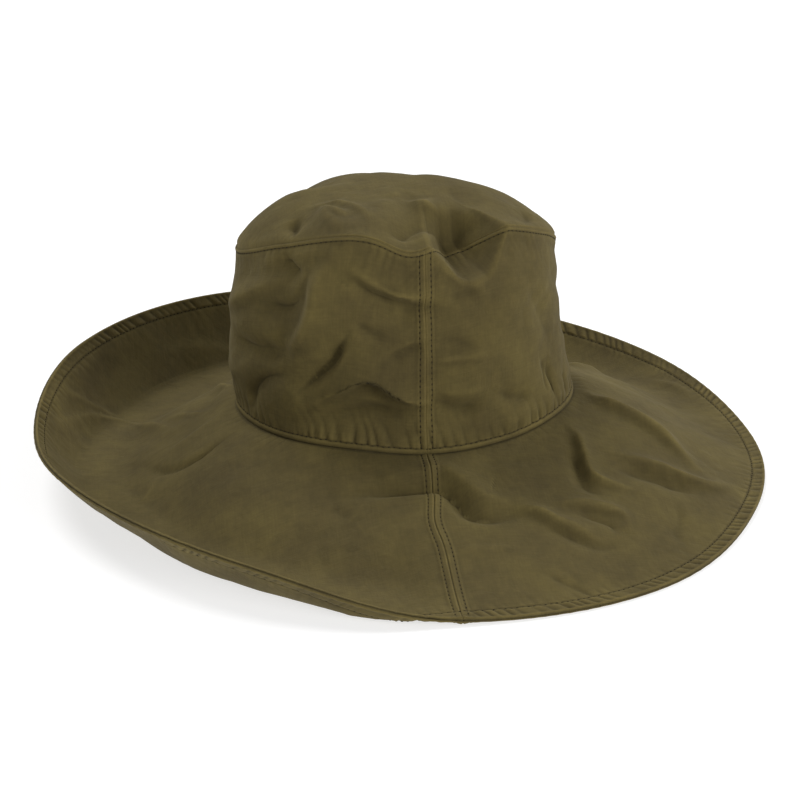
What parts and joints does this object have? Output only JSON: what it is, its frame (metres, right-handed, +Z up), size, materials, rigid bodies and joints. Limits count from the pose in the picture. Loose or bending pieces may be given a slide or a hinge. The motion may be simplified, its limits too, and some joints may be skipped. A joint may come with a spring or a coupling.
{
  "type": "wide-brim hat",
  "caption": "Soft cotton hat with a dropped, dented crown in panels and a very wide double-cloth brim, curled up on one side.",
  "frame": {"origin": "middle of the hat's footprint, on the surface it rests on", "axes": "+Z up; the side seams lie along Y, with the dented front seam towards -Y; the head oval is longest along X"},
  "size_m": [0.4366, 0.4386, 0.1758],
  "materials": {
    "cotton_cloth": "matte"
  },
  "bodies": {
    "root": {"crown_tip": "cotton_cloth", "crown_side_left": "cotton_cloth", "crown_side_right": "cotton_cloth", "brim_top_left": "cotton_cloth", "brim_top_right": "cotton_cloth", "brim_under_left": "cotton_cloth", "brim_under_right": "cotton_cloth"}
  },
  "joints": []
}
